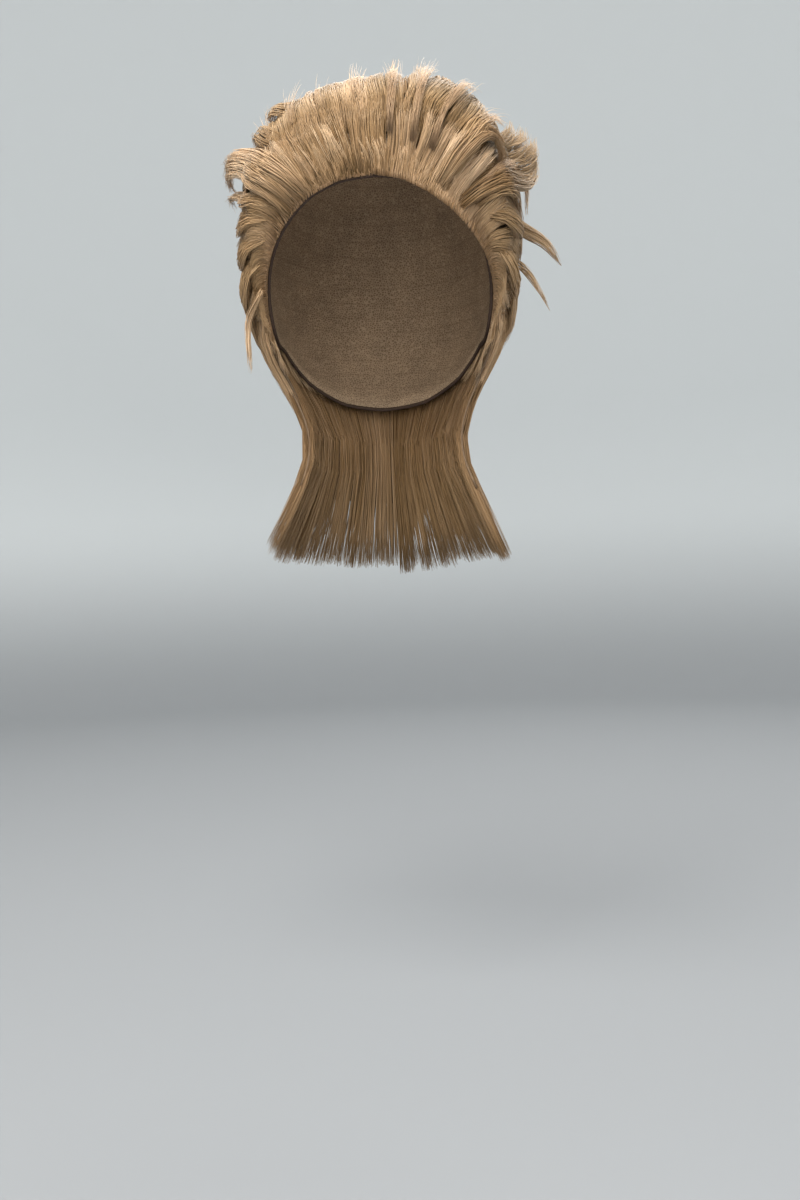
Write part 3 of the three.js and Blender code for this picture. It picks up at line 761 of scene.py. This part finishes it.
# Two rings of guides that leave the whorl. A station adds degrees, and a share of how far it is past the back,
# to the bearing, at a reach.
crown = {
    "look": {"strands": 900, "segments": 5, "radius": 0.5, "dome": 1.2, "pinch": (0.0, 0.4), "loose": 0.5},
    "whorl": {"locks": 14, "tone": 0.5, "from": 0.15},
    "whorlBearings": range(70, 300, 20),
    "whorlStations": [(-14, 0.0, 5), (0, 0.0, 20), (0, -0.08, 36), (0, -0.15, 52)],
    "ring": {"locks": 15, "tone": 0.46, "from": 0.3},
    "ringBearings": range(56, 316, 20),
    "ringStations": [(0, 0.0, 32), (0, -0.07, 44), (0, -0.13, 56), (0, -0.18, 68)],
}


def makeCrown():
    parts = underLayer((50, 310), 1, lambda b: 56)
    for row in ("whorl", "ring"):
        guides = [[(b + more + (b - 180) * share, reach) for more, share, reach in crown[row + "Stations"]]
                  for b in crown[row + "Bearings"]]
        parts += growField(headGuides(guides), {**crown["look"], **crown[row]})
    hairPiece("crown_locks", parts, "hair_top", "crown_hair")


# Hair swept out and back from the temples, then down behind the ears
sides = {
    "sweep": {"strands": 1500, "locks": 8, "tone": 0.56, "sway": 2.0, "waves": 1.3, "raise": (-0.5, 2.0),
              "dome": 1.6, "pinch": (0.0, 0.4), "loose": 0.45, "ripple": (1.8, 1.3, -0.5), "segments": 7,
              "radius": 0.36},
    "sweepGuides": [
        [(39, 76.3), (46, 71), (58, 68), (74, 69)],
        [(45, 81.3), (50, 76), (61, 75), (76, 79)],
        [(50, 85.5), (54, 81), (64, 81), (77, 88)],
        [(55, 89.5), (60, 88.5), (69, 94), (79, 104)],
        [(60, 94.3), (65, 94.5), (73, 101), (82, 112)],
        [(66, 101), (70, 102.5), (77, 110), (85, 123)],
        [(73, 109), (77, 111.5), (83, 119), (89, 132)],
        [(80, 119.5), (84, 121), (89, 128), (93, 140)],
    ],
    "back": {"strands": 700, "locks": 9, "tone": 0.46, "sway": 1.8, "waves": 1.2, "radius": 0.48,
             "dome": 1.5, "pinch": (0.0, 0.45), "loose": 0.45},
    "backGuides": [
        [(60, 62), (72, 56), (86, 57), (101, 66)],
        [(64, 72), (75, 68), (90, 71), (104, 82)],
        [(68, 83), (79, 81), (93, 87), (106, 100)],
        [(73, 95), (83, 95), (96, 103), (108, 118)],
        [(80, 107), (89, 108), (100, 118), (110, 132)],
    ],
    "rear": {"strands": 360, "locks": 7, "tone": 0.42, "sway": 1.5, "segments": 5, "radius": 0.52,
             "dome": 1.2, "pinch": (0.0, 0.4), "loose": 0.5},
    "rearGuides": [
        [(84, 56), (96, 60), (108, 70), (117, 84)],
        [(86, 72), (98, 78), (109, 90), (118, 104)],
        [(89, 90), (100, 98), (110, 110), (118, 122)],
        [(94, 106), (103, 114), (111, 124), (117, 136)],
    ],
    "fall": {"strands": 460, "locks": 7, "tone": 0.72, "sway": 1.6, "waves": 0.9, "segments": 7,
             "raise": (-0.5, 0.5), "layer": 3.5, "pinch": (0.1, 0.5), "short": 0.7, "length": (0.8, 1.0),
             "start": 0.3},
    "fallLines": [
        [(76, -27, -112), (80, -14, -134), (75, 2, -153), (65, 14, -173), (55, 21, -203), (57, 20, -226)],
        [(84, -6, -100), (87, 3, -128), (79.5, 10, -150), (68, 20, -172), (56, 27, -203), (58, 26, -232)],
        [(86, 16, -98), (86, 21, -126), (79, 26, -149), (66, 32, -173), (51.5, 38, -203), (54, 39, -232)],
        [(78, 40, -100), (77, 42, -128), (70, 44, -150), (59, 48, -173), (44, 53, -203), (46, 55, -230)],
    ],
    "fallSlab": (2.0, 0.3, 0.8),  # thickness, and the shares of the length where it begins and ends
    "left": [
        {"over": [(-42, 73, -3), (-49, 71, 0), (-58, 70, 2)],
         "points": [(-88.3, -26, -48), (-97.7, -12, -43), (-100.4, -8, -47), (-94, -8, -51)],
         "lock": (11, 5, 70, 0.6)},
        {"over": [(-48, 75, -3), (-57, 75, 0), (-66, 76, 1)],
         "points": [(-88, -20, -64), (-89, -4, -71), (-86, 12, -82)], "lock": (16, 6, 90, 0.5)},
        {"over": [(-54, 81, -3), (-62, 83, 0), (-71, 87, 1)],
         "points": [(-89, -12, -88), (-89, 2, -98), (-85, 14, -110)], "lock": (16, 6, 90, 0.45)},
        {"over": [(-62, 88, -3), (-69, 92, 0), (-77, 100, 1)],
         "points": [(-88, -6, -118), (-84, 8, -136), (-69, 16, -158)], "lock": (17, 6, 110, 0.5)},
        {"points": [(-76.8, -34, -111), (-86.9, -18, -124), (-89.2, -14, -140), (-88.2, -12, -163)],
         "lock": (8, 4, 40, 0.85)},
    ],
    "right": [
        {"over": [(27, 68, -5), (34, 60, 0), (44, 53, 2)],
         "points": [(80, -42, -22), (86, -26, -14), (81.5, -20, -9)], "lock": (15, 6, 100, 0.45)},
        {"over": [(41, 73, -3), (47, 70, 0), (56, 69, 2)],
         "points": [(91, -24, -60), (95, -10, -66), (95.5, 0, -75.5)], "lock": (18, 7, 110, 0.5)},
        {"over": [(48, 76, -3), (55, 77, 0), (64, 79, 2)],
         "points": [(92, -18, -75), (94, -6, -82.4), (93, 4, -93.5)], "lock": (17, 7, 100, 0.45)},
        {"points": [(79.9, -30, -65.6), (95.6, -14, -71), (112.2, -6, -80.2), (123, -2, -94.5)],
         "lock": (12, 11, 80, 0.6), "root": 0.9, "tip": 0.02, "splay": 0.4, "frizz": 0.3},
        {"points": [(82.8, -24, -91), (96.3, -12, -97.3), (105.9, -6, -109.6), (114, -4, -125)],
         "lock": (6, 5, 34, 0.65), "root": 0.9, "tip": 0.02, "splay": 0.4, "frizz": 0.3},
        {"over": [(60, 86, -3), (66, 90, 0), (74, 97, 1)],
         "points": [(89.5, -10, -111.4), (88, 4, -131.5), (78, 14, -150)], "lock": (18, 6, 120, 0.5)},
    ],
}


def makeSide(name, place, node):
    right = place == "right"
    parts = underLayer((50, 114) if right else (-114, -50), 46, lambda b: min(edgeReach(b) - 3, 122))
    for row in ("sweep", "back", "rear"):
        guides = sides[row + "Guides"]
        parts += growField(headGuides(drooped(guides) if right else mirrored(guides)), sides[row])
    fall = np.array([smoothLine(line) for line in sides["fallLines"]])
    fall = fall if right else (fall * [-1, 1, 1])[::-1]
    parts += growField(fall, sides["fall"]) + underSheet(fall, *sides["fallSlab"])
    for lock in sides[place]:
        parts += growLock(lock)
    hairPiece(name, parts, "hair_side", node)


# The two tufts that stand out at the corners, the rolled one on the left and the flared one on the right
corners = {
    "rolled_tuft": [
        {"over": [(-28, 71, -3), (-35, 65.5, 0), (-43, 62, 2)],
         "points": [(-80, -46, -28), (-93, -22, -19), (-100.5, -8, -19.5), (-102, -4, -25), (-97, -4, -30)],
         "lock": (15, 8, 150, 0.72), "from": 0.3},
        {"over": [(-33, 73, -3), (-39, 67.5, 1), (-46, 64, 3)],
         "points": [(-82, -45, -32), (-95, -20, -24), (-101.5, -8, -26), (-100, -6, -32)],
         "lock": (15, 8, 140, 0.66), "from": 0.3},
        {"over": [(-37, 75, -3), (-42, 69.5, 0), (-48, 66.5, 2)],
         "points": [(-83, -44, -37), (-94, -24, -30), (-100, -12, -32), (-98.5, -8, -38), (-94, -8, -40)],
         "lock": (15, 7, 130, 0.6), "from": 0.3},
    ],
    "flared_tuft": [
        # This lock's colour runs back from the middle to the root colour, so its end is dark: painted shade
        # under the roll where the hair turns under.
        {"over": [(24, 70, -3), (30, 62.5, 1), (38, 58, 3), (45, 58, 4), (49.5, 62, 2)],
         "points": [(74, -60, -52)], "lock": (15, 6, 130, 0.58), "from": 0.5, "to": 0.1, "short": 0.62},
        {"over": [(34, 75, -3), (40, 71, 1), (48, 68.5, 2)],
         "points": [(87, -52, -50), (97, -32, -45), (104, -14, -35), (107, -4, -23), (105, -2, -12)],
         "lock": (16, 8, 130, 0.3), "to": 0.85},
        {"points": [(62, -62, -48), (80, -42, -41), (96, -22, -32), (105, -8, -20), (105, -4, -8)],
         "lock": (19, 11, 130, 0.15), "to": 0.8, "tip": 0.5, "splay": 1.2, "short": 0.85},
        {"points": [(60, -62, -43), (75, -44, -34), (89, -26, -24), (98, -12, -13), (98, -8, -2)],
         "lock": (18, 11, 120, 0.2), "to": 0.85, "tip": 0.4, "splay": 1.3, "short": 0.8},
        {"points": [(58, -64, -40), (72, -48, -30), (83, -32, -19), (90, -20, -9), (90, -14, 0)],
         "lock": (14, 9, 80, 0.15), "to": 0.85, "tip": 0.4, "splay": 1.3, "short": 0.8},
        {"points": [(82, -34, -42), (93, -20, -36), (99.5, -12, -42), (99.5, -8, -62)],
         "lock": (7, 4, 30, 0.7), "splay": 1.2},
    ],
}


def makeCorners():
    for name, locks in corners.items():
        hairPiece(name, [part for lock in locks for part in growLock(lock)], "hair_top")


back = {
    "rows": {"strands": 560, "locks": 12, "segments": 5, "radius": 0.52, "tone": 0.44, "dome": 1.2,
             "raise": (-0.5, 0.8), "pinch": (0.0, 0.35), "loose": 0.55},
    "bearings": range(104, 264, 19),
    "steps": [(44, 18), (64, 18), (84, 17), (100, 13)],  # reach of the roots, and of a third of a lock
    "gather": 0.03,  # toward the middle at each third
}


def makeBack():
    parts = underLayer((108, 252), 46, lambda b: 118)
    for root, step in back["steps"]:
        guides = [[(b + (180 - b) * back["gather"] * k, root + step * k) for k in range(4)]
                  for b in back["bearings"]]
        parts += growField(headGuides(guides), back["rows"])
    hairPiece("back_locks", parts, "hair_side", "back_hair")


# Long straight hair, from under the back of the head past the neck to its ends
longHair = {
    "neckWidth": 92.0,
    "neckLength": 128.0,
    "neckLevel": 203.0,
    "spread": 150.0,
    "sweep": 174.0,
    "level": 290.0,
    "offNeck": 9.35,
    "waist": 2.06,  # divides the two widths half way down, a little over 2 to draw the sheet in
    "start": (104.0, 17.5),  # reach and height over the head
    "edge": (5, 14.5),  # degrees above the edge of the cap, and height there
    "lines": 9,
    "easing": 7,  # rounds over which the bend at the neck is smoothed
    "slab": (1.4, 0.05, 0.74),
    "look": {"segments": 8, "radius": 0.42, "pinch": (0.0, 0.04), "dome": 1.2, "raise": (-1.5, 1.5),
             "sway": 0.7, "shift": 0.03, "length": (0.955, 1.0), "short": 0.935, "start": 0.03,
             "loose": 0.85, "layer": 8.0, "bury": 0.8},
    "roots": [98, 110, 122, 134, 149, 164, 180, 196, 211, 226, 238, 250, 262],
    "necks": [103, 115, 126, 137, 151, 166, 180, 194, 209, 223, 234, 245, 257],
    "ends": [88, 100, 113, 127, 144, 162, 180, 198, 216, 233, 247, 260, 272],
    "drops": [1.0, 1.005, 1.0, 1.01, 1.02, 1.03, 1.035, 1.03, 1.02, 1.01, 1.0, 0.99, 0.965],
    "pieces": [
        {"name": "nape_locks", "node": "nape_hair", "roots": (127, 233), "strands": 1500, "locks": 17},
        {"name": "left_tail_locks", "node": "tail_left", "roots": (230, 264), "strands": 600, "locks": 7},
        {"name": "right_tail_locks", "node": "tail_right", "roots": (96, 130), "strands": 600, "locks": 7},
    ],
}


def neckRing(bearing, width, length, level):
    b, out = math.radians(bearing), longHair["offNeck"]
    return [math.sin(b) * (width / 2 + out), -math.cos(b) * (length / 2 + out), -level]


def longLine(root):
    h = longHair
    neck, end, drop = [float(np.interp(root, h["roots"], h[name])) for name in ("necks", "ends", "drops")]
    above, height = h["edge"]
    midWidth = (h["neckWidth"] + h["spread"]) / h["waist"]
    midLength, midLevel = (h["neckLength"] + h["sweep"]) / 2, (h["neckLevel"] + h["level"]) / 2
    return [
        offHead(root, *h["start"]),
        offHead(root, float(edgeReach(root)) - above, height),
        neckRing(neck, h["neckWidth"], h["neckLength"], h["neckLevel"]),
        neckRing((neck + end) / 2, midWidth, midLength, midLevel),
        neckRing(end, h["spread"], h["sweep"], h["level"] * drop),
    ]


def makeLong():
    for piece in longHair["pieces"]:
        roots = np.linspace(*piece["roots"], longHair["lines"])
        lines = np.array([smoothLine(longLine(root)) for root in roots])
        for step in range(longHair["easing"]):
            lines[:, 1:-1] = (lines[:, :-2] + 2 * lines[:, 1:-1] + lines[:, 2:]) / 4
        parts = underSheet(lines, *longHair["slab"]) + growField(lines, {**longHair["look"], **piece})
        hairPiece(piece["name"], parts, "hair_tail", piece["node"])


makeHairline()
makeQuiff()
makeCrown()
makeSide("left_side_locks", "left", "side_hair_left")
makeSide("right_side_locks", "right", "side_hair_right")
makeCorners()
makeBack()
makeLong()
print("hair grown,", sum(triangleCount.values()), "triangles")


def plainMesh(name, verts, faces):
    mesh = bpy.data.meshes.new(name)
    mesh.from_pydata(verts, [], faces)
    mesh.update()
    mesh.shade_smooth()
    return addObject(name, mesh)


# Faces of a grid of points that closes round its columns, and round its rows too where it is a ring
def gridFaces(rows, columns, ring=False):
    faces = []
    for i in range(rows if ring else rows - 1):
        low, high = i * columns, (i + 1) % rows * columns
        for j in range(columns):
            k = (j + 1) % columns
            faces.append((low + j, low + k, high + k, high + j))
    return faces


# Cap and binding
cap = {
    "wall": 1.5,
    "bindingWidth": 2.4,
    "bindingWall": 2.2,
    "gap": 0.35,  # between the wall and the binding
    "columns": 96,
    "rows": 22,
    "crownHole": 0.004,  # share of the reach that stays open in the mesh at the very top
    "bindingPoints": 12,
}


# A closed shell from rows of reaches, each with its height off the head
def sweptShell(name, bearings, rows):
    grid = np.array([offHead(bearings, reaches, height) for reaches, height in rows])
    return plainMesh(name, (grid.reshape(-1, 3) * mm).tolist(), gridFaces(*grid.shape[:2], ring=True))


def makeCap():
    bearings = np.linspace(0, 360, cap["columns"], endpoint=False)
    edge = edgeReach(bearings)
    degreesEach = np.degrees(1 / headRadius(direction(bearings, edge)))
    foot = edge - (cap["bindingWidth"] + cap["gap"]) * degreesEach
    shares = np.linspace(cap["crownHole"], 1, cap["rows"])
    rows = [(foot * s, 0.0) for s in shares] + [(foot * s, cap["wall"]) for s in shares[::-1]]
    finishPiece(sweptShell("net_cap", bearings, rows), "cap_net", "cap")
    rows = []
    for angle in np.linspace(0, fullTurn, cap["bindingPoints"], endpoint=False):
        above = cap["bindingWidth"] * degreesEach * (0.5 + 0.5 * math.cos(angle))
        rows.append((edge - above, cap["bindingWall"] * (0.5 + 0.5 * math.sin(angle))))
    finishPiece(sweptShell("edge_tape", bearings, rows), "binding", "edge_binding")


threadPaint = {
    "edge": (0.03, 0.2),  # of a thread, toward the hole
    "rowStep": 0.011,  # metres from one row of stitches to the next
    "rowEdge": (0.88, 0.97),
    "cloud": 60.0,
    "cloudBrightness": (0.88, 1.12),
}


# Threads round small open meshes, in place of a cut net
def threadGroup():
    tree = newGroup("threadNet", [
        ("Thread", "Color", "INPUT", (0.4, 0.3, 0.2, 1)),
        ("Gap", "Color", "INPUT", (0.2, 0.14, 0.09, 1)),
        ("Size", "Float", "INPUT", 700.0),
        ("Rows", "Float", "INPUT", 0.3),
        ("Colour", "Color", "OUTPUT", None),
        ("Height", "Float", "OUTPUT", None),
    ])
    nodes, paint = tree.nodes, threadPaint
    given, made = nodes.new("NodeGroupInput").outputs, nodes.new("NodeGroupOutput").inputs
    place = nodes.new("ShaderNodeTexCoord").outputs["Object"]
    cells = nodes.new("ShaderNodeTexVoronoi")
    cells.feature = "DISTANCE_TO_EDGE"
    cells.inputs["Randomness"].default_value = 1.0
    feed(tree, place, cells.inputs["Vector"])
    feed(tree, given["Size"], cells.inputs["Scale"])
    thread = mapRange(tree, cells.outputs["Distance"], *paint["edge"], 1.0, 0.0)
    parts = nodes.new("ShaderNodeSeparateXYZ")
    feed(tree, place, parts.inputs[0])
    turns = mathNode(tree, "MULTIPLY", parts.outputs["Z"], fullTurn / paint["rowStep"])
    wave = mathNode(tree, "SINE", turns)
    row = mathNode(tree, "MULTIPLY", mapRange(tree, wave, *paint["rowEdge"]), given["Rows"])
    cloud = nodes.new("ShaderNodeTexNoise")
    cloud.inputs["Scale"].default_value = paint["cloud"]
    feed(tree, place, cloud.inputs["Vector"])
    colour = mixColour(tree, thread, given["Gap"], given["Thread"])
    colour = mixColour(tree, row, colour, given["Gap"])
    shade = nodes.new("ShaderNodeHueSaturation")
    bright = mapRange(tree, cloud.outputs["Fac"], 0.3, 0.7, *paint["cloudBrightness"], "LINEAR")
    feed(tree, bright, shade.inputs["Value"])
    feed(tree, colour, shade.inputs["Color"])
    feed(tree, shade.outputs["Color"], made["Colour"])
    feed(tree, mathNode(tree, "ADD", thread, row), made["Height"])
    return tree


threadFinish = {"specular": 0.5, "sheen": (1.0, 1.0, 1.0), "bump": 0.6, "relief": 0.3}
threadFinishes = {
    "cap_net": {"Thread": (0.42, 0.30, 0.19), "Gap": (0.22, 0.145, 0.085), "Size": 600.0, "Rows": 0.3,
                "roughness": 0.8},
    # The binding's near-black brown is in part its own dark brown and in part painted shade of the gap under
    # the front of the hair.
    "binding": {"Thread": (0.06, 0.03, 0.016), "Gap": (0.03, 0.015, 0.008), "Size": 1400.0, "Rows": 0.0,
                "roughness": 0.75},
}
threadNet = threadGroup()
for slot, finish in threadFinishes.items():
    materials[slot] = groupMaterial(slot, threadNet, {**threadFinish, **finish})
makeCap()
print("cap made")

# Pale studio in metres: a floor that curves up into a wall all round, a little darker than the wall
studio = {
    "floor": -0.615,
    "flat": 2.2,
    "curve": 0.8,
    "height": 3.4,
    "columns": 96,
    "curveSteps": 12,
    "wall": (0.62, 0.655, 0.67),
    "ground": (0.29, 0.305, 0.32),
    "fade": 0.5,  # height over which the floor's colour becomes the wall's
    "roughness": 0.9,
}


def studioPaint():
    material, tree, shader = plainMaterial("studio_paint", studio["roughness"])
    height = tree.nodes.new("ShaderNodeSeparateXYZ")
    feed(tree, tree.nodes.new("ShaderNodeNewGeometry").outputs["Position"], height.inputs[0])
    up = mapRange(tree, height.outputs["Z"], studio["floor"], studio["floor"] + studio["fade"])
    colour = mixColour(tree, up, (*studio["ground"], 1), (*studio["wall"], 1))
    feed(tree, colour, shader.inputs["Base Color"])
    return material


def makeStudio():
    flat, curve, steps = studio["flat"], studio["curve"], studio["curveSteps"]
    profile = [(0.0, 0.0), (flat * 0.5, 0.0), (flat, 0.0)]
    for k in range(1, steps + 1):
        a = math.radians(90 * k / steps)
        profile.append((flat + curve * math.sin(a), curve * (1 - math.cos(a))))
    profile.append((flat + curve, studio["height"]))
    turns = [fullTurn * j / studio["columns"] for j in range(studio["columns"])]
    verts = [(r * math.cos(a), r * math.sin(a), z + studio["floor"]) for r, z in profile for a in turns]
    made = plainMesh("studio", verts, gridFaces(len(profile), studio["columns"]))
    made.data.materials.append(studioPaint())


makeStudio()

lampTarget = Vector((0, 0, -0.12))
lamps = [
    {"name": "key", "at": (-0.45, -1.25, 1.45), "size": 1.2, "power": 60.0, "tint": (1.0, 0.97, 0.93)},
    {"name": "fill", "at": (1.6, -1.3, 0.5), "size": 1.6, "power": 10.0, "tint": (1.0, 0.98, 0.96)},
    {"name": "low_fill", "at": (-0.2, -1.9, 0.3), "size": 1.4, "power": 15.0, "tint": (1.0, 0.97, 0.93)},
    {"name": "rim", "at": (0.6, 1.5, 1.2), "size": 1.2, "power": 14.0, "tint": (1.0, 0.98, 0.95)},
]
for lamp in lamps:
    data = bpy.data.lights.new(lamp["name"], "AREA")
    data.size, data.energy, data.color = lamp["size"], lamp["power"], lamp["tint"]
    made = addObject(lamp["name"], data)
    made.location = lamp["at"]
    made.rotation_euler = (lampTarget - made.location).to_track_quat("-Z", "Y").to_euler()

skyLight = {"Color": (1.0, 0.98, 0.96, 1), "Strength": 0.85}
world = bpy.data.worlds.new("studio_light")
bpy.context.scene.world = world
world.use_nodes = True
for name, value in skyLight.items():
    world.node_tree.nodes["Background"].inputs[name].default_value = value
bpy.context.scene.view_settings.view_transform = "Standard"

view = {"at": (0.0072, -0.88, -0.296), "lens": 39.0, "sensor": 36.0, "shift": -0.025, "lean": 1.8,
        "near": 0.01}
cameraData = bpy.data.cameras.new("camera")
cameraData.lens, cameraData.sensor_width, cameraData.sensor_fit = view["lens"], view["sensor"], "AUTO"
cameraData.shift_y, cameraData.clip_start = view["shift"], view["near"]
camera = addObject("camera", cameraData)
camera.location = view["at"]
camera.rotation_mode = "QUATERNION"
forward = Vector((0, 1, 0)).to_track_quat("-Z", "Y")
camera.rotation_quaternion = forward @ Quaternion((0, 0, 1), math.radians(-view["lean"]))
bpy.context.scene.camera = camera
print("studio, lamps and camera set")
